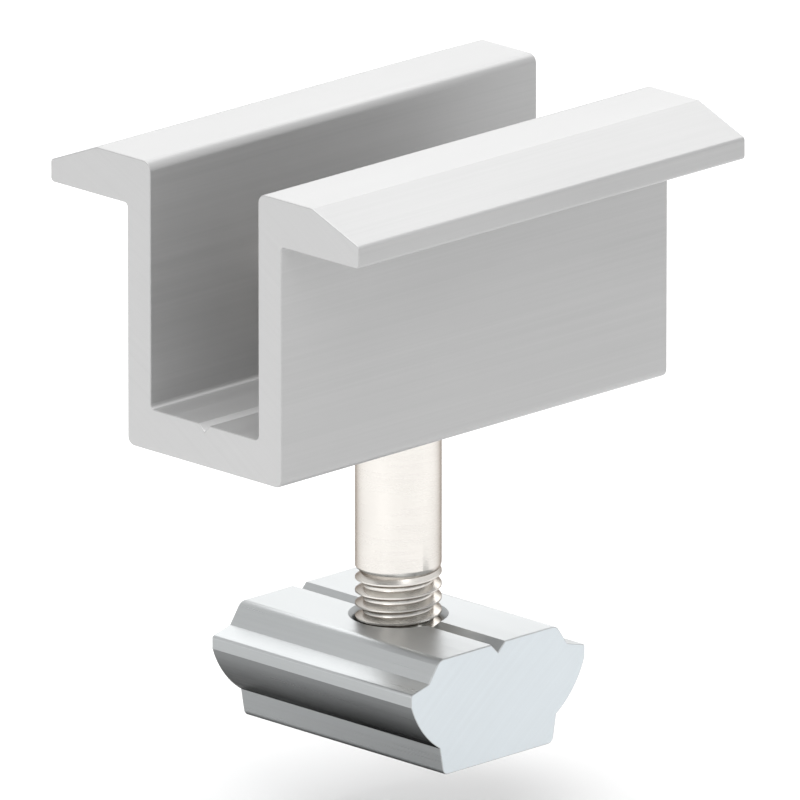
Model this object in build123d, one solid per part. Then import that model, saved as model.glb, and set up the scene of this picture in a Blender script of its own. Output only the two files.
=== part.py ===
from build123d import *
from math import cos, radians, tan
import os

# Solar mid clamp: a winged U channel is pulled down on two module frames by an M8 cap screw,
# which draws a nut up against the lips of a slotted rail.
# The origin is the middle of the nut's underside, on the screw's axis. The channel runs along X,
# the nut and the rail along Y, and the screw points up along Z. All sizes are in millimetres.

# Cap screw
SCREW_DIAMETER = 8.0
SCREW_LENGTH = 35.0
HEAD_DIAMETER = 13.0
HEAD_HEIGHT = 8.0
HEAD_EDGE_RADIUS = 0.8
SOCKET_ACROSS_FLATS = 6.0
HEX_HALF_SIDE_ANGLE = 180.0 / 6
SOCKET_DEPTH = 4.0
SOCKET_POINT_ANGLE = 118.0
SOCKET_MOUTH_CHAMFER = 0.25
SCREW_TIP_CHAMFER = 0.8

# Split spring washer
WASHER_THICKNESS = 2.0
WASHER_BORE_CLEARANCE = 0.1
WASHER_INSET = 0.2
WASHER_EDGE_CHAMFER = 0.2
WASHER_SPLIT_WIDTH = 0.7
WASHER_SPLIT_ANGLE = 25.0

# Winged channel
CHANNEL_LENGTH = 50.0
CHANNEL_HEIGHT = 27.5
WALL_THICKNESS = 3.0
FLOOR_THICKNESS = 4.0
HEAD_SIDE_CLEARANCE = 0.5
SCREW_HOLE_CLEARANCE = 0.5
WING_OVERHANG = 10.0
WING_ROOT_THICKNESS = 4.5
WING_TIP_THICKNESS = 2.1
WING_BEVEL_WIDTH = 6.0
WING_TIP_RADIUS = 0.4
SEAT_CORNER_RADIUS = 0.4
MOUTH_RADIUS = 0.9
OUTER_CORNER_RADIUS = 0.8
FLOOR_GROOVE_WIDTH = 1.4
FLOOR_GROOVE_DEPTH = 0.7

# Rail nut
NUT_LENGTH = 26.0
NUT_HEIGHT = 11.2
BOSS_TOP_WIDTH = 15.2
BOSS_BASE_WIDTH = 18.0
BOSS_HEIGHT = 2.0
BOSS_EDGE_RADIUS = 1.1
SHOULDER_WIDTH = 22.6
LEDGE_DROP = 0.6
SHOULDER_HEIGHT = 1.2
SHOULDER_EDGE_RADIUS = 0.3
BELLY_BULGE = 0.5
FOOT_TOP_WIDTH = 15.2
FOOT_BOTTOM_WIDTH = 14.2
FOOT_HEIGHT = 2.7
FOOT_EDGE_RADIUS = 0.7
NUT_GROOVE_WIDTH = 1.8
NUT_GROOVE_DEPTH = 0.9
THREAD_CLEARANCE = 0.05
THREAD_COUNTERSINK = 0.6
SCREW_END_RECESS = 1.7

# Places that follow from the sizes above
SCREW_RADIUS = SCREW_DIAMETER / 2
INNER_WIDTH = HEAD_DIAMETER + 2 * HEAD_SIDE_CLEARANCE
OUTER_WIDTH = INNER_WIDTH + 2 * WALL_THICKNESS
OVERALL_WIDTH = OUTER_WIDTH + 2 * WING_OVERHANG
HEAD_SEAT_Z = SCREW_END_RECESS + SCREW_LENGTH
FLOOR_TOP_Z = HEAD_SEAT_Z - WASHER_THICKNESS
CHANNEL_BOTTOM_Z = FLOOR_TOP_Z - FLOOR_THICKNESS
CHANNEL_TOP_Z = CHANNEL_BOTTOM_Z + CHANNEL_HEIGHT


def outline(corners):
    """A closed face through (x, y, radius) corners, each rounded by its own radius."""
    face = make_face(Polyline(*[(x, y) for x, y, _ in corners], close=True))
    for x, y, radius in corners:
        if radius > 0:
            corner = face.vertices().sort_by_distance((x, y, 0))[0]
            face = fillet(corner, radius)
    return face


def mirrored(half):
    """Corners of the right half, bottom to top, followed by the same ones on the left."""
    return half + [(-x, y, radius) for x, y, radius in reversed(half)]


def vee(width, depth, x, y):
    """A V groove's cross-section, opening upwards at (x, y)."""
    return make_face(Polyline((x - width / 2, y), (x, y - depth), (x + width / 2, y), close=True))


def clamp_channel():
    """The extruded channel: two walls on a floor, each wall with a wing that leans on a module."""
    wall = OUTER_WIDTH / 2
    tip = OVERALL_WIDTH / 2
    seat_z = CHANNEL_TOP_Z - WING_ROOT_THICKNESS
    profile = outline(
        mirrored(
            [
                (wall, CHANNEL_BOTTOM_Z, OUTER_CORNER_RADIUS),
                (wall, seat_z, SEAT_CORNER_RADIUS),
                (tip, seat_z, WING_TIP_RADIUS),
                (tip, seat_z + WING_TIP_THICKNESS, WING_TIP_RADIUS),
                (tip - WING_BEVEL_WIDTH, CHANNEL_TOP_Z, 0),
                (INNER_WIDTH / 2, CHANNEL_TOP_Z, MOUTH_RADIUS),
                (INNER_WIDTH / 2, FLOOR_TOP_Z, HEAD_SIDE_CLEARANCE),
            ]
        )
    )
    profile -= vee(FLOOR_GROOVE_WIDTH, FLOOR_GROOVE_DEPTH, 0, FLOOR_TOP_Z)
    bar = extrude(Plane.YZ * profile, amount=CHANNEL_LENGTH / 2, both=True)
    hole = Cylinder(SCREW_RADIUS + SCREW_HOLE_CLEARANCE, 2 * FLOOR_THICKNESS)
    return bar - Pos(0, 0, CHANNEL_BOTTOM_Z + FLOOR_THICKNESS / 2) * hole


def socket_screw():
    """The cap screw, turned about its axis, with a hexagon socket that ends in a drill point."""
    head_top = HEAD_SEAT_Z + HEAD_HEIGHT
    half_section = make_face(
        Polyline(
            (0, SCREW_END_RECESS),
            (SCREW_RADIUS - SCREW_TIP_CHAMFER, SCREW_END_RECESS),
            (SCREW_RADIUS, SCREW_END_RECESS + SCREW_TIP_CHAMFER),
            (SCREW_RADIUS, HEAD_SEAT_Z),
            (HEAD_DIAMETER / 2, HEAD_SEAT_Z),
            (HEAD_DIAMETER / 2, head_top),
            (0, head_top),
            close=True,
        )
    )
    rim = half_section.vertices().sort_by_distance((HEAD_DIAMETER / 2, head_top, 0))[0]
    half_section = fillet(rim, HEAD_EDGE_RADIUS)
    body = revolve(Plane.XZ * half_section, axis=Axis.Z)

    across_corners = SOCKET_ACROSS_FLATS / cos(radians(HEX_HALF_SIDE_ANGLE))
    hexagon = RegularPolygon(across_corners / 2, 6, rotation=HEX_HALF_SIDE_ANGLE)
    socket = extrude(Pos(0, 0, head_top - SOCKET_DEPTH) * hexagon, amount=SOCKET_DEPTH)
    point_radius = SOCKET_ACROSS_FLATS / 2
    point_depth = point_radius / tan(radians(SOCKET_POINT_ANGLE / 2))
    point = Pos(0, 0, head_top - SOCKET_DEPTH - point_depth / 2) * Cone(0, point_radius, point_depth)
    mouth_radius = across_corners / 2 + SOCKET_MOUTH_CHAMFER
    mouth_depth = 2 * SOCKET_MOUTH_CHAMFER
    mouth = Pos(0, 0, head_top - mouth_depth / 2) * Cone(
        mouth_radius - mouth_depth, mouth_radius, mouth_depth
    )
    return body - socket - point - mouth


def spring_washer():
    """A square-section ring pressed flat under the head, with one slanted split."""
    inner = SCREW_RADIUS + WASHER_BORE_CLEARANCE
    outer = HEAD_DIAMETER / 2 - WASHER_INSET
    middle = (inner + outer) / 2
    section = Pos(middle, FLOOR_TOP_Z + WASHER_THICKNESS / 2) * Rectangle(outer - inner, WASHER_THICKNESS)
    section = chamfer(section.vertices(), WASHER_EDGE_CHAMFER)
    ring = revolve(Plane.XZ * section, axis=Axis.Z)
    split = Box(2 * outer, WASHER_SPLIT_WIDTH, 4 * WASHER_THICKNESS)
    place = Pos(outer, 0, FLOOR_TOP_Z + WASHER_THICKNESS / 2) * Rot(WASHER_SPLIT_ANGLE, 0, 0)
    return ring - place * split


def rail_nut():
    """The extruded nut: a boss for the rail's slot, ledges for its lips and a rounded belly."""
    shoulder_top = NUT_HEIGHT - BOSS_HEIGHT - LEDGE_DROP
    shoulder_foot = shoulder_top - SHOULDER_HEIGHT
    boss_edge = (BOSS_TOP_WIDTH / 2, NUT_HEIGHT)
    shoulder_edge = (SHOULDER_WIDTH / 2, shoulder_top)
    belly_start = (SHOULDER_WIDTH / 2, shoulder_foot)
    belly_end = (FOOT_TOP_WIDTH / 2, FOOT_HEIGHT)
    foot_edge = (FOOT_BOTTOM_WIDTH / 2, 0)
    half = make_face(
        Polyline(
            (0, NUT_HEIGHT),
            boss_edge,
            (BOSS_BASE_WIDTH / 2, NUT_HEIGHT - BOSS_HEIGHT),
            shoulder_edge,
            belly_start,
        )
        + SagittaArc(belly_start, belly_end, BELLY_BULGE)
        + Polyline(belly_end, foot_edge, (0, 0), (0, NUT_HEIGHT))
    )
    for corner, radius in (
        (boss_edge, BOSS_EDGE_RADIUS),
        (shoulder_edge, SHOULDER_EDGE_RADIUS),
        (foot_edge, FOOT_EDGE_RADIUS),
    ):
        half = fillet(half.vertices().sort_by_distance((*corner, 0))[0], radius)
    profile = half + mirror(half, about=Plane.YZ)
    profile -= vee(NUT_GROOVE_WIDTH, NUT_GROOVE_DEPTH, 0, NUT_HEIGHT)
    bar = extrude(Plane.XZ * profile, amount=NUT_LENGTH / 2, both=True)

    thread_radius = SCREW_RADIUS + THREAD_CLEARANCE
    thread = Pos(0, 0, NUT_HEIGHT / 2) * Cylinder(thread_radius, 2 * NUT_HEIGHT)
    sink_radius = thread_radius + THREAD_COUNTERSINK
    upper_sink = Pos(0, 0, NUT_HEIGHT - THREAD_COUNTERSINK / 2) * Cone(
        thread_radius, sink_radius, THREAD_COUNTERSINK
    )
    lower_sink = Pos(0, 0, THREAD_COUNTERSINK / 2) * Cone(
        sink_radius, thread_radius, THREAD_COUNTERSINK
    )
    return bar - thread - upper_sink - lower_sink


SUB_PARTS = {
    "clamp_channel": clamp_channel,
    "socket_screw": socket_screw,
    "spring_washer": spring_washer,
    "rail_nut": rail_nut,
}

os.makedirs("parts", exist_ok=True)
for node, make in SUB_PARTS.items():
    export_step(make(), f"parts/{node}.step")
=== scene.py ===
import math

import bmesh
import bpy
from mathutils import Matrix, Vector


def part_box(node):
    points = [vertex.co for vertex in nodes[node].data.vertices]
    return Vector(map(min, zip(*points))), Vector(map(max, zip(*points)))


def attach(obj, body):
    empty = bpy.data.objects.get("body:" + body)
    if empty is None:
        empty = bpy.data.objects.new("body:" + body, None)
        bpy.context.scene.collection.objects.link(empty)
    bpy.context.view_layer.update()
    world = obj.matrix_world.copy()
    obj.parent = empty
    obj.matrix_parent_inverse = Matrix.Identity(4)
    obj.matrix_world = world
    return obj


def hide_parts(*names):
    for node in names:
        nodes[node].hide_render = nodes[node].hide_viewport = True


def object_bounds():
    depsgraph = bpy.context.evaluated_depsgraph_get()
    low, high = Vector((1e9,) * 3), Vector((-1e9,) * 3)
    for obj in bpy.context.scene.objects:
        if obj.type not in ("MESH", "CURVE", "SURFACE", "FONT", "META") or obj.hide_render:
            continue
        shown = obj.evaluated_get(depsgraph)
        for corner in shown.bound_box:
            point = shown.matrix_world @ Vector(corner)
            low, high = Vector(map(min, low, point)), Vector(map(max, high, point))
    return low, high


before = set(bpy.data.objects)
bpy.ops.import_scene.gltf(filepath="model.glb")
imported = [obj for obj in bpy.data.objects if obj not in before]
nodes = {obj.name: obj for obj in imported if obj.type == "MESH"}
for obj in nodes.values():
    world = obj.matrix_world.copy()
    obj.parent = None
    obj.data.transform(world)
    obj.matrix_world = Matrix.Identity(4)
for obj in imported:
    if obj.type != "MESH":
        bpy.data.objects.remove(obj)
cad_low, cad_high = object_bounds()

MM = 0.001

# Hair-wide chamfer on the edges that the CAD model leaves sharp
BROKEN_EDGE = 0.10 * MM
WASHER_BROKEN_EDGE = BROKEN_EDGE / 3
SHARP_ANGLE = math.radians(50)

# Before the chamfer, points this close are joined, and triangles this flat together are one face
WELD_DISTANCE = 0.002 * MM
FLAT_ANGLE = math.radians(0.3)

# Meshes made here: the angle from which an edge stays crisp, and what counts as no distance
CREASE_ANGLE = math.radians(32)
SAME_POINT = 0.0005 * MM
SLIVER = 0.0002 * MM

# Screw: the sizes that its box doesn't give
SCREW_RADIUS = 4.0 * MM
HEAD_HEIGHT = 8.0 * MM
HEAD_EDGE_RADIUS = 0.8 * MM
HEAD_EDGE_STEPS = 6
HEAD_FOOT_CHAMFER = 0.25 * MM
KNURL_DEPTH = 0.22 * MM
KNURL_MARGIN = 0.9 * MM
KNURL_SLOPE = KNURL_DEPTH * 1.5
STEPS_PER_KNURL_TOOTH = 3
SOCKET_ACROSS_FLATS = 6.0 * MM
SOCKET_DEPTH = 4.0 * MM
SOCKET_POINT_ANGLE = math.radians(118.0)
SOCKET_MOUTH = 0.25 * MM
SOCKET_FLOOR_SHARE = 0.98
TIP_CHAMFER = 0.8 * MM

# Thread: an ISO metric profile, cut from the tip up to a soft run-out. Each point of the profile
# is a share of the pitch, going up, and a share of the groove's depth.
PITCH = 1.25 * MM
THREAD_LENGTH = 14.6 * MM
THREAD_RUN_OUT = 1.6 * MM
THREAD_DEPTH = 0.613 * PITCH
THREAD_PROFILE = (
    (0.0, 0.0),
    (0.11, 0.0),
    (0.15, 0.08),
    (0.43, 0.94),
    (0.5625, 1.0),
    (0.695, 0.94),
    (0.96, 0.08),
)
TURN_STEPS = 216

# Nut's own thread: a ridge that stands in the screw's groove with a running gap, and is sunk a
# hair into the bore. Each point of its profile is a share of the pitch and of the ridge's height.
NUT_BORE_RADIUS = SCREW_RADIUS + 0.05 * MM
NUT_THREAD_GAP = 0.16 * MM
NUT_RIDGE_HEIGHT = NUT_BORE_RADIUS - (SCREW_RADIUS - THREAD_DEPTH + NUT_THREAD_GAP)
NUT_RIDGE_SINK = 0.03 * MM
NUT_RIDGE_PROFILE = ((0.22, 0.0), (0.5, 1.0), (0.625, 1.0), (0.905, 0.0))
NUT_COUNTERSINK = 0.6 * MM
NUT_TURN_STEPS = 72
NUT_FADE_STEPS = 18

# Extruded bars: how many marks a metre has, along the bar and across it
BROAD_LINES = (7.0, 900.0)
FINE_LINES = (25.0, 3600.0)
CLOUDS = (40.0, 110.0)
GRAIN = 9000.0

# Saw that cut the bars: its centre lies far below and beside them
SAW_CENTRE = (0.09, 0.09, -0.11)
SAW_MARKS = 1900.0

# Bars: how far the marks darken and lighten the skin and the sawn ends, how much rougher the
# ends are, and how high the marks stand
SKIN_SHADES = (0.93, 1.05)
CUT_SHADES = (0.955, 1.02)
END_ROUGHNESS = 0.06
MARK_HEIGHT = 0.012 * MM

# Bars: a face's normal tells a sawn end by its share along the bar, a flank by its share across
# the bar, and how much painted shade a flank's underside gets by its share upwards
END_FROM, END_TO = 0.93, 0.97
FLANK_FROM, FLANK_TO = 0.3, 0.5
UNDERSIDE_SHADE_FROM, UNDERSIDE_SHADE_TO = 0.2, -0.8

# Share of a grazing reflection that the undersides of the nut's flanks keep: a painted shade on their
# reflection
UNDERSIDE_REFLECTION_SHADE = 0.3

# Steel: how many marks a metre has along X, Y and Z, how high they stand, and how far they
# darken and lighten the colour and change the roughness
TURNING_RINGS = (120.0, 120.0, 2600.0)
TURNING_HEIGHT = 0.003 * MM
STEEL_CLOUDS = (260.0, 260.0, 130.0)
SCREW_SHADES = (0.95, 1.03)
SCREW_ROUGHNESS = (0.20, 0.32)
WIRE_MARKS = (1500.0, 1500.0, 8000.0)
WIRE_HEIGHT = 0.006 * MM
WASHER_SHADES = (0.9, 1.06)
WASHER_ROUGHNESS = (0.34, 0.48)

# Colours
WHITE = (1.0, 1.0, 1.0)
CHANNEL_SKIN = (0.435, 0.435, 0.435)
CHANNEL_CUT = (0.515, 0.515, 0.515)
NUT_SKIN = (0.46, 0.475, 0.48)
NUT_CUT = (0.57, 0.61, 0.635)
SCREW_COLOUR = (0.69, 0.665, 0.63)
SCREW_EDGE = (0.28, 0.24, 0.21)
WASHER_COLOUR = (0.50, 0.495, 0.48)

# Camera: a long lens, so that parallel edges stay parallel
CAMERA_AZIMUTH = math.radians(-44.9)
CAMERA_ELEVATION = math.radians(16.9)
LENS = 1400.0
SENSOR = 36.0
PICTURE_WIDTH = 73.5 * MM
AIM_ABOVE_CENTRE = 2.6 * MM
AIM_TO_THE_RIGHT = 0.15 * MM

# Stage: the nut can travel down by this much before it would meet the floor
FLOOR_DROP = 10.0 * MM
FLOOR_SIZE = 8.0
FLOOR_SHADES = (0.93, 0.95)
FLOOR_CLOUDS = 6.0

# Glow that lifts the floor to white where it is seen. It starts at the first distance from the
# screw's axis and is full at the second, so that the clamp's shadow stays.
FLOOR_LIFT = 0.14
FLOOR_LIFT_FROM = 14.0 * MM
FLOOR_LIFT_TO = 60.0 * MM

# World: its grey as a light, and its grey where it is seen
WORLD_LIGHT = 0.60
WORLD_SEEN = 1.0

# Lamps: compass angle and height in degrees, distance and size in metres, power in watts
LAMPS = {
    "back_softbox": (125, 42, 0.7, 0.75, 2.0),
    "top_softbox": (-60, 84, 0.7, 0.45, 2.3),
    "left_softbox": (-82, 18, 0.8, 0.5, 1.0),
    "front_softbox": (-38, 46, 0.8, 0.45, 1.3),
}


def span(node):
    """A node's lowest and highest corner."""
    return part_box(node)


# ---------------------------------------------------------------- materials


class Nodes:
    """A few short ways to add and join shader nodes."""

    def __init__(self, name):
        self.material = bpy.data.materials.new(name)
        self.material.use_nodes = True
        self.tree = self.material.node_tree
        self.shader = self.tree.nodes["Principled BSDF"]

    def add(self, kind, **settings):
        node = self.tree.nodes.new(kind)
        for key, value in settings.items():
            setattr(node, key, value)
        return node

    def join(self, source, target):
        self.tree.links.new(source, target)

    def value(self, node, **inputs):
        for key, value in inputs.items():
            node.inputs[key.replace("_", " ")].default_value = value

    def math(self, operation, a, b=0.0):
        node = self.add("ShaderNodeMath", operation=operation)
        for socket, source in zip(node.inputs, (a, b)):
            if isinstance(source, (int, float)):
                socket.default_value = source
            else:
                self.join(source, socket)
        return node.outputs[0]

    def stretched(self, scale):
        """Object coordinates scaled by a vector."""
        place = self.add("ShaderNodeTexCoord")
        mapping = self.add("ShaderNodeMapping")
        mapping.inputs["Scale"].default_value = scale
        self.join(place.outputs["Object"], mapping.inputs["Vector"])
        return mapping.outputs["Vector"]

    def noise(self, scale, detail, roughness=0.5):
        node = self.add("ShaderNodeTexNoise")
        self.value(node, Scale=1.0, Detail=detail, Roughness=roughness)
        self.join(self.stretched(scale), node.inputs["Vector"])
        return node.outputs["Fac"]

    def saw_arcs(self, along):
        """Noise in arcs about a far centre, as a circular saw leaves across a bar."""
        place = self.add("ShaderNodeTexCoord")
        from_centre = self.add("ShaderNodeVectorMath", operation="SUBTRACT")
        self.join(place.outputs["Object"], from_centre.inputs[0])
        centre = [0.0 if axis == along else SAW_CENTRE[axis] for axis in range(3)]
        from_centre.inputs[1].default_value = centre
        flat = self.add("ShaderNodeVectorMath", operation="MULTIPLY")
        self.join(from_centre.outputs["Vector"], flat.inputs[0])
        flat.inputs[1].default_value = [0.0 if axis == along else 1.0 for axis in range(3)]
        radius = self.add("ShaderNodeVectorMath", operation="LENGTH")
        self.join(flat.outputs["Vector"], radius.inputs[0])
        arcs = self.add("ShaderNodeTexNoise", noise_dimensions="1D")
        self.value(arcs, Scale=SAW_MARKS, Detail=4.0, Roughness=0.7)
        self.join(radius.outputs["Value"], arcs.inputs["W"])
        return arcs.outputs["Fac"]

    def ramp(self, source, low, high, to_low=0.0, to_high=1.0):
        """The source's range from low to high, stretched to another range and clamped to it."""
        node = self.add("ShaderNodeMapRange")
        self.value(node, From_Min=low, From_Max=high, To_Min=to_low, To_Max=to_high)
        self.join(source, node.inputs["Value"])
        return node.outputs["Result"]

    def mix(self, amount, a, b):
        """A mix of two numbers, each a socket."""
        node = self.add("ShaderNodeMix", data_type="FLOAT")
        for socket, source in zip(node.inputs[:1] + node.inputs[2:4], (amount, a, b)):
            self.join(source, socket)
        return node.outputs[0]

    def blend_colours(self, amount, a, b):
        """A mix of two colours, each a plain colour or a socket."""
        node = self.add("ShaderNodeMix", data_type="RGBA")
        self.join(amount, node.inputs[0])
        for socket, source in zip(node.inputs[6:8], (a, b)):
            if isinstance(source, tuple):
                socket.default_value = (*source, 1.0)
            else:
                self.join(source, socket)
        return node.outputs[2]

    def tint(self, source, dark, light):
        """Base colour that goes from dark to light with a 0..1 source."""
        self.join(self.blend_colours(source, dark, light), self.shader.inputs["Base Color"])

    def bump(self, source, distance, strength):
        node = self.add("ShaderNodeBump")
        self.value(node, Distance=distance, Strength=strength)
        self.join(source, node.inputs["Height"])
        self.join(node.outputs["Normal"], self.shader.inputs["Normal"])


def shade(colour, factor):
    """The colour made darker or lighter."""
    return tuple(min(1.0, channel * factor) for channel in colour)


def shades(colour, factors):
    return [shade(colour, factor) for factor in factors]


def extruded_aluminium(name, skin, cut, along, roughness, metal_share, underside_shade=1.0):
    """Satin aluminium: die lines along the bar's skin, and brighter cut ends with a saw's arcs.

    The last argument is the share of its colour that the skin of downward-facing flanks keeps: painted
    shade, deeper the further a flank turns down, which also darkens their grazing reflection.
    """
    n = Nodes(name)
    n.shader.inputs["Metallic"].default_value = metal_share

    def lengthwise(lengthways, crossways):
        """A texture's scale that differs along the bar and across it."""
        return tuple(lengthways if axis == along else crossways for axis in range(3))

    broad_lines = n.noise(lengthwise(*BROAD_LINES), detail=3.0, roughness=0.6)
    fine_lines = n.noise(lengthwise(*FINE_LINES), detail=3.0, roughness=0.65)
    clouds = n.noise(lengthwise(*CLOUDS), detail=3.0)
    grain = n.noise((GRAIN,) * 3, detail=2.0)
    die_lines = n.math("ADD", n.math("MULTIPLY", broad_lines, 0.55), n.math("MULTIPLY", fine_lines, 0.45))

    normal = n.add("ShaderNodeSeparateXYZ")
    n.join(n.add("ShaderNodeTexCoord").outputs["Normal"], normal.inputs["Vector"])
    is_end = n.ramp(n.math("ABSOLUTE", normal.outputs[along]), END_FROM, END_TO)

    marks = n.mix(is_end, die_lines, n.saw_arcs(along))
    tone = n.math("ADD", n.math("MULTIPLY", marks, 0.7), n.math("MULTIPLY", clouds, 0.3))
    tone = n.ramp(tone, 0.32, 0.68)
    skin_tone = n.blend_colours(tone, *shades(skin, SKIN_SHADES))
    cut_tone = n.blend_colours(tone, *shades(cut, CUT_SHADES))
    if underside_shade < 1.0:
        # Painted shade: flanks that face downwards get a darker colour, as if they lay in shade
        is_flank = n.ramp(n.math("ABSOLUTE", normal.outputs[1 - along]), FLANK_FROM, FLANK_TO)
        painted_shade_mask = n.math("MULTIPLY", is_flank, n.ramp(normal.outputs[2], UNDERSIDE_SHADE_FROM, UNDERSIDE_SHADE_TO))
        skin_tone = n.blend_colours(painted_shade_mask, skin_tone, shade(skin, underside_shade))
        # Painted shade on the reflection: the same flanks reflect less at grazing angles
        shaded_reflection_tint = n.blend_colours(painted_shade_mask, WHITE, shade(WHITE, UNDERSIDE_REFLECTION_SHADE))
        n.join(shaded_reflection_tint, n.shader.inputs["Specular Tint"])
    n.join(n.blend_colours(is_end, skin_tone, cut_tone), n.shader.inputs["Base Color"])

    dull = n.ramp(marks, 0.3, 0.7, roughness - 0.06, roughness + 0.07)
    dull = n.math("ADD", dull, n.math("MULTIPLY", is_end, END_ROUGHNESS))
    n.join(dull, n.shader.inputs["Roughness"])
    height = n.math("ADD", marks, n.math("MULTIPLY", grain, 0.25))
    n.bump(height, MARK_HEIGHT, 0.6)
    return n.material


def screw_steel(name, colour, edge_colour):
    """Bright stainless steel, darker at grazing angles, with faint rings left by turning."""
    n = Nodes(name)
    n.shader.inputs["Metallic"].default_value = 1.0
    n.shader.inputs["Specular Tint"].default_value = (*edge_colour, 1.0)
    rings = n.noise(TURNING_RINGS, detail=4.0, roughness=0.6)
    clouds = n.noise(STEEL_CLOUDS, detail=2.0)
    n.tint(n.ramp(clouds, 0.3, 0.7), *shades(colour, SCREW_SHADES))
    n.join(n.ramp(rings, 0.25, 0.75, *SCREW_ROUGHNESS), n.shader.inputs["Roughness"])
    n.bump(rings, TURNING_HEIGHT, 0.5)
    return n.material


def spring_steel(name, colour):
    """Duller steel, drawn as wire and coiled, with marks that run round the ring."""
    n = Nodes(name)
    n.shader.inputs["Metallic"].default_value = 1.0
    wire = n.noise(WIRE_MARKS, detail=4.0, roughness=0.65)
    n.tint(n.ramp(wire, 0.3, 0.7), *shades(colour, WASHER_SHADES))
    n.join(n.ramp(wire, 0.25, 0.75, *WASHER_ROUGHNESS), n.shader.inputs["Roughness"])
    n.bump(wire, WIRE_HEIGHT, 0.6)
    return n.material


def dress(piece, material):
    piece.data.materials.clear()
    piece.data.materials.append(material)


# ---------------------------------------------------------------- meshes


def soften(piece, width):
    """Breaks a CAD node's sharp edges by a hair, so that they catch the light."""
    weld = piece.modifiers.new("weld", "WELD")
    weld.merge_threshold = WELD_DISTANCE
    flatten = piece.modifiers.new("whole_faces", "DECIMATE")
    flatten.decimate_type = "DISSOLVE"
    flatten.angle_limit = FLAT_ANGLE
    bevel = piece.modifiers.new("broken_edges", "BEVEL")
    bevel.width = width
    bevel.segments = 2
    bevel.limit_method = "ANGLE"
    bevel.angle_limit = SHARP_ANGLE
    bevel.use_clamp_overlap = False


def ring(radius_at, z):
    """One closed ring of points; radius_at gives the radius at an angle."""
    points = []
    for step in range(TURN_STEPS):
        angle = math.tau * step / TURN_STEPS
        radius = radius_at(angle)
        points.append(Vector((radius * math.cos(angle), radius * math.sin(angle), z)))
    return points


def circle(radius):
    return lambda angle: radius


def hexagon(apothem):
    sixth = math.tau / 6
    return lambda angle: apothem / math.cos((angle % sixth) - sixth / 2)


def knurl(radius, depth):
    """A straight knurl: flat-topped teeth with a narrow groove between each two."""

    def radius_at(angle):
        step = round(angle / math.tau * TURN_STEPS)
        return radius - (depth if step % STEPS_PER_KNURL_TOOTH == 0 else 0.0)

    return radius_at


def thread_depth(phase):
    """Depth of the thread's groove as a share of the full depth, over one pitch."""
    points = THREAD_PROFILE + ((1.0, 0.0),)
    for (start, low), (end, high) in zip(points, points[1:]):
        if phase <= end:
            return low + (high - low) * (phase - start) / (end - start)


def helix_rows(low, high, radius_at):
    """Rows of points that follow a right-hand helix, clamped to flat rings at both ends.

    radius_at(z, depth) gives a point's radius from its height and its share of the thread's depth.
    """
    rows = []
    turns = math.ceil((high - low) / PITCH) + 1
    for turn in range(-1, turns):
        for phase, depth in THREAD_PROFILE:
            row = []
            for step in range(TURN_STEPS):
                share = step / TURN_STEPS
                z = min(max(low + (turn + phase + share) * PITCH, low), high)
                here = ((z - low) / PITCH - share) % 1.0
                clamped = z in (low, high)
                radius = radius_at(z, thread_depth(here) if clamped else depth)
                angle = math.tau * share
                row.append(Vector((radius * math.cos(angle), radius * math.sin(angle), z)))
            rows.append(row)
    return rows


def new_piece(name, shell):
    """An object made from the shell, smooth but for its creases."""
    bmesh.ops.recalc_face_normals(shell, faces=shell.faces)
    mesh = bpy.data.meshes.new(name)
    shell.to_mesh(mesh)
    shell.free()
    mesh.polygons.foreach_set("use_smooth", [True] * len(mesh.polygons))
    mesh.set_sharp_from_angle(angle=CREASE_ANGLE)
    piece = bpy.data.objects.new(name, mesh)
    bpy.context.scene.collection.objects.link(piece)
    return piece


def skin_rings(shell, rows):
    """Quads between rings of equal count."""
    loops = [[shell.verts.new(point) for point in row] for row in rows]
    for lower, upper in zip(loops, loops[1:]):
        for step in range(len(lower)):
            after = (step + 1) % len(lower)
            shell.faces.new((lower[step], lower[after], upper[after], upper[step]))
    return loops


def skin_helix(shell, rows):
    """Quads between helix rows: the last column meets the first one a whole pitch further on."""
    per_turn = len(THREAD_PROFILE)
    loops = [[shell.verts.new(point) for point in row] for row in rows]
    for index, (lower, upper) in enumerate(zip(loops, loops[1:])):
        for step in range(TURN_STEPS - 1):
            shell.faces.new((lower[step], lower[step + 1], upper[step + 1], upper[step]))
        if index + 1 + per_turn < len(loops):
            next_lower, next_upper = loops[index + per_turn : index + per_turn + 2]
            shell.faces.new((lower[-1], next_lower[0], next_upper[0], upper[-1]))


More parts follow.
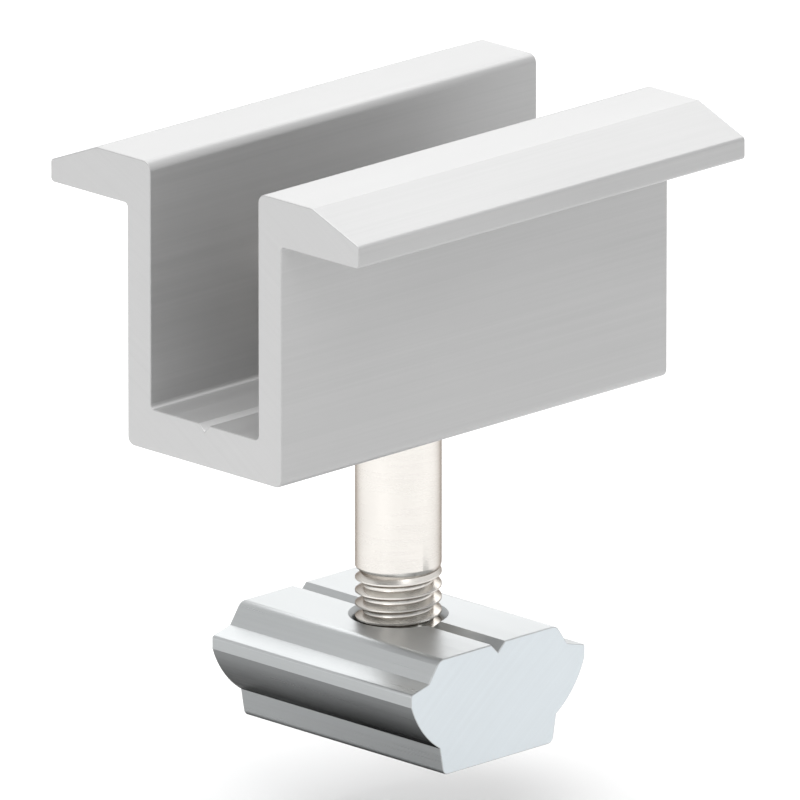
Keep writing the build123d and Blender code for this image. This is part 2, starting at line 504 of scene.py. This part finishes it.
def make_screw():
    """The whole screw as one closed skin: tip, thread, shank, knurled head and hexagon socket."""
    low, high = span("socket_screw")
    tip_z = low.z
    head_top = high.z
    head_seat = head_top - HEAD_HEIGHT
    head_radius = (high.x - low.x) / 2
    thread_top = tip_z + THREAD_LENGTH

    def thread_radius(z, depth):
        fade = min(1.0, max(0.0, (thread_top - z) / THREAD_RUN_OUT))
        cut = SCREW_RADIUS - THREAD_DEPTH * depth * fade * fade * (3 - 2 * fade)
        return min(cut, SCREW_RADIUS - TIP_CHAMFER + (z - tip_z))

    shell = bmesh.new()
    skin_helix(shell, helix_rows(tip_z, thread_top, thread_radius))

    knurl_low = head_seat + KNURL_MARGIN
    knurl_high = head_top - HEAD_EDGE_RADIUS - KNURL_MARGIN / 2
    teeth = knurl(head_radius, KNURL_DEPTH)
    rows = [
        ring(circle(SCREW_RADIUS), thread_top),
        ring(circle(SCREW_RADIUS), head_seat),
        ring(circle(head_radius - HEAD_FOOT_CHAMFER), head_seat),
        ring(circle(head_radius), head_seat + HEAD_FOOT_CHAMFER),
        ring(circle(head_radius), knurl_low),
        ring(teeth, knurl_low + KNURL_SLOPE),
        ring(teeth, knurl_high - KNURL_SLOPE),
        ring(circle(head_radius), knurl_high),
    ]
    for step in range(HEAD_EDGE_STEPS + 1):
        turn = math.radians(90 * step / HEAD_EDGE_STEPS)
        radius = head_radius - HEAD_EDGE_RADIUS * (1 - math.cos(turn))
        rows.append(ring(circle(radius), head_top - HEAD_EDGE_RADIUS * (1 - math.sin(turn))))

    # the socket's mouth is a cone that cuts the six flats
    apothem = SOCKET_ACROSS_FLATS / 2
    flats = hexagon(apothem)
    mouth = apothem / math.cos(math.pi / 6) + SOCKET_MOUTH
    slope = ring(flats, head_top)
    for point in slope:
        point.z = head_top - (mouth - point.to_2d().length)
    socket_floor = head_top - SOCKET_DEPTH
    rows += [
        ring(circle(mouth), head_top),
        slope,
        ring(flats, socket_floor),
        ring(circle(apothem * SOCKET_FLOOR_SHARE), socket_floor),
    ]
    last = skin_rings(shell, rows)[-1]
    bottom = shell.verts.new((0, 0, socket_floor - apothem / math.tan(SOCKET_POINT_ANGLE / 2)))
    for step in range(TURN_STEPS):
        shell.faces.new((last[step], last[(step + 1) % TURN_STEPS], bottom))

    bmesh.ops.remove_doubles(shell, verts=shell.verts, dist=SAME_POINT)
    bmesh.ops.dissolve_degenerate(shell, dist=SLIVER, edges=shell.edges)
    rim = [edge for edge in shell.edges if edge.is_boundary]
    bmesh.ops.holes_fill(shell, edges=rim, sides=0)
    return new_piece("cap_screw", shell)


def make_nut_thread():
    """The nut's thread: a helical ridge along its bore, in step with the screw's groove."""
    low, high = span("rail_nut")
    screw_low = span("socket_screw")[0].z
    bottom = low.z + NUT_COUNTERSINK
    top = high.z - NUT_COUNTERSINK - PITCH
    shell = bmesh.new()
    count = int((top - bottom) / PITCH * NUT_TURN_STEPS)
    previous = None
    for index in range(count + 1):
        turns = index / NUT_TURN_STEPS
        angle = math.tau * turns
        centre = bottom + turns * PITCH
        # the screw's groove at this angle lies a whole number of pitches from its tip
        base = screw_low + (turns % 1.0) * PITCH
        groove = base + round((centre - base) / PITCH) * PITCH
        fade = min(1.0, index / NUT_FADE_STEPS, (count - index) / NUT_FADE_STEPS)
        row = []
        for phase, height in NUT_RIDGE_PROFILE:
            z = groove + phase * PITCH
            radius = NUT_BORE_RADIUS + NUT_RIDGE_SINK
            if height:
                radius = NUT_BORE_RADIUS - NUT_RIDGE_HEIGHT * height * fade
            row.append(shell.verts.new((radius * math.cos(angle), radius * math.sin(angle), z)))
        if previous:
            for side in range(len(row)):
                after = (side + 1) % len(row)
                shell.faces.new((previous[side], previous[after], row[after], row[side]))
        else:
            shell.faces.new(row)
        previous = row
    shell.faces.new(reversed(previous))
    return new_piece("nut_thread", shell)


# ---------------------------------------------------------------- the clamp

channel_finish = extruded_aluminium(
    "channel_aluminium", CHANNEL_SKIN, CHANNEL_CUT, along=0, roughness=0.40, metal_share=0.4
)
# The nut's flanks that face downwards keep 0.02 of their colour: a painted shade
nut_finish = extruded_aluminium(
    "nut_aluminium", NUT_SKIN, NUT_CUT, along=1, roughness=0.32, metal_share=0.82, underside_shade=0.02
)
screw_finish = screw_steel("screw_steel", SCREW_COLOUR, SCREW_EDGE)
washer_finish = spring_steel("washer_steel", WASHER_COLOUR)

for node, finish, broken_edge in (
    ("clamp_channel", channel_finish, BROKEN_EDGE),
    ("rail_nut", nut_finish, BROKEN_EDGE),
    ("spring_washer", washer_finish, WASHER_BROKEN_EDGE),
):
    dress(nodes[node], finish)
    soften(nodes[node], broken_edge)

screw = make_screw()
dress(screw, screw_finish)
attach(screw, "screw")
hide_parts("socket_screw")

nut_thread = make_nut_thread()
dress(nut_thread, nut_finish)
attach(nut_thread, "nut")


# ---------------------------------------------------------------- stage, lights, camera


def compass(azimuth, elevation):
    """Unit vector from the clamp towards an azimuth and an elevation in radians."""
    level = math.cos(elevation)
    return Vector((math.sin(azimuth) * level, -math.cos(azimuth) * level, math.sin(elevation)))


def seen_directly(tree):
    """1 for a ray from the camera, a reflection or glass, and 0 for one that only lights the object."""
    path = tree.nodes.new("ShaderNodeLightPath")
    seen = path.outputs["Is Camera Ray"]
    for ray in ("Is Glossy Ray", "Is Transmission Ray"):
        either = tree.nodes.new("ShaderNodeMath")
        either.operation = "MAXIMUM"
        tree.links.new(seen, either.inputs[0])
        tree.links.new(path.outputs[ray], either.inputs[1])
        seen = either.outputs[0]
    return seen


def make_floor():
    """A pale floor that is white where it is seen and keeps the clamp's shadow."""
    bpy.ops.mesh.primitive_plane_add(size=FLOOR_SIZE, location=(0, 0, cad_low.z - FLOOR_DROP))
    floor = bpy.context.object
    floor.name = "floor"
    n = Nodes("pale_floor")
    n.value(n.shader, Roughness=0.9)
    n.shader.inputs["Specular IOR Level"].default_value = 0.1
    n.tint(n.noise((FLOOR_CLOUDS,) * 3, detail=2.0), *shades(WHITE, FLOOR_SHADES))
    glow = n.add("ShaderNodeEmission")
    distance = n.add("ShaderNodeVectorMath", operation="LENGTH")
    n.join(n.add("ShaderNodeTexCoord").outputs["Object"], distance.inputs[0])
    clear_of_clamp = n.ramp(distance.outputs["Value"], FLOOR_LIFT_FROM, FLOOR_LIFT_TO)
    n.join(n.math("MULTIPLY", seen_directly(n.tree), clear_of_clamp), glow.inputs["Strength"])
    glow.inputs["Color"].default_value = (*shade(WHITE, FLOOR_LIFT), 1.0)
    both = n.add("ShaderNodeAddShader")
    n.join(n.shader.outputs["BSDF"], both.inputs[0])
    n.join(glow.outputs["Emission"], both.inputs[1])
    n.join(both.outputs["Shader"], n.tree.nodes["Material Output"].inputs["Surface"])
    dress(floor, n.material)


def make_world():
    """A plain surround: grey as a light, and white where it is seen."""
    world = bpy.data.worlds.new("studio")
    world.use_nodes = True
    bpy.context.scene.world = world
    tree = world.node_tree
    tree.nodes.clear()
    out = tree.nodes.new("ShaderNodeOutputWorld")
    background = tree.nodes.new("ShaderNodeBackground")
    mix = tree.nodes.new("ShaderNodeMix")
    mix.data_type = "RGBA"
    for socket, grey in zip(mix.inputs[6:8], shades(WHITE, (WORLD_LIGHT, WORLD_SEEN))):
        socket.default_value = (*grey, 1.0)
    tree.links.new(seen_directly(tree), mix.inputs[0])
    tree.links.new(mix.outputs[2], background.inputs["Color"])
    tree.links.new(background.outputs["Background"], out.inputs["Surface"])


def make_lamp(name, azimuth, elevation, distance, size, power):
    """A soft round lamp that looks at the clamp from a compass angle and a height in degrees."""
    data = bpy.data.lights.new(name, "AREA")
    data.shape = "DISK"
    data.size = size
    data.energy = power
    lamp = bpy.data.objects.new(name, data)
    bpy.context.scene.collection.objects.link(lamp)
    back = compass(math.radians(azimuth), math.radians(elevation))
    lamp.location = (cad_low + cad_high) / 2 + back * distance
    lamp.rotation_mode = "QUATERNION"
    lamp.rotation_quaternion = back.to_track_quat("Z", "Y")
    lamp.visible_camera = False


def make_camera():
    """The photograph's view, framed to its width."""
    data = bpy.data.cameras.new("camera")
    data.lens = LENS
    data.sensor_width = SENSOR
    camera = bpy.data.objects.new("camera", data)
    bpy.context.scene.collection.objects.link(camera)
    back = compass(CAMERA_AZIMUTH, CAMERA_ELEVATION)
    right = Vector((math.cos(CAMERA_AZIMUTH), math.sin(CAMERA_AZIMUTH), 0))
    aim = (cad_low + cad_high) / 2 + Vector((0, 0, AIM_ABOVE_CENTRE)) + right * AIM_TO_THE_RIGHT
    distance = PICTURE_WIDTH * LENS / SENSOR
    camera.location = aim + back * distance
    camera.rotation_mode = "QUATERNION"
    camera.rotation_quaternion = back.to_track_quat("Z", "Y")
    data.clip_start = distance / 100
    data.clip_end = distance * 20
    bpy.context.scene.camera = camera


make_floor()
make_world()
for lamp_name, settings in LAMPS.items():
    make_lamp(lamp_name, *settings)
make_camera()

bpy.context.scene.view_settings.view_transform = "Standard"
